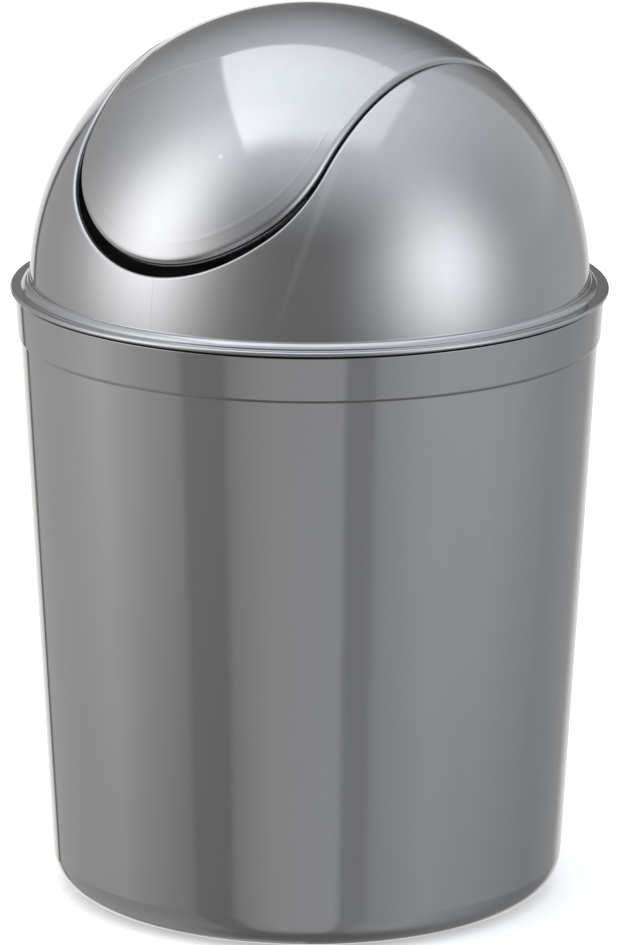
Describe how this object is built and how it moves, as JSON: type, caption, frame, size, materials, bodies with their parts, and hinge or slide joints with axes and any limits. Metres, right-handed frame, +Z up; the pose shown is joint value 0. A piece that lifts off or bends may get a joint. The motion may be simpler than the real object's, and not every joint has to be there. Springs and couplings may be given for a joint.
{
  "type": "countertop trash can with swing lid",
  "caption": "Round tapered countertop trash can with a lift-off dome lid and a curved flap that swings both ways on pins at its sides.",
  "frame": {"origin": "on the floor, under the centre of the can", "axes": "+Z up, X along the flap's hinge line, -Y towards the scoop at the front"},
  "size_m": [0.135, 0.135, 0.2034],
  "materials": {
    "silver_plastic": "silver pigmented plastic, glossy"
  },
  "bodies": {
    "can": {"bucket": "silver_plastic"},
    "lid": {"dome_lid": "silver_plastic"},
    "flap": {"swing_flap": "silver_plastic"}
  },
  "joints": [
    {"name": "lid_lift", "type": "slide", "parent": "can", "child": "lid", "axis": [0, 0, 1], "range_m": [0, 0.06]},
    {"name": "flap_swing", "type": "hinge", "parent": "lid", "child": "flap", "pos_m": [0, 0, 0.188], "axis": [1, 0, 0], "range_deg": [-80, 80]}
  ]
}
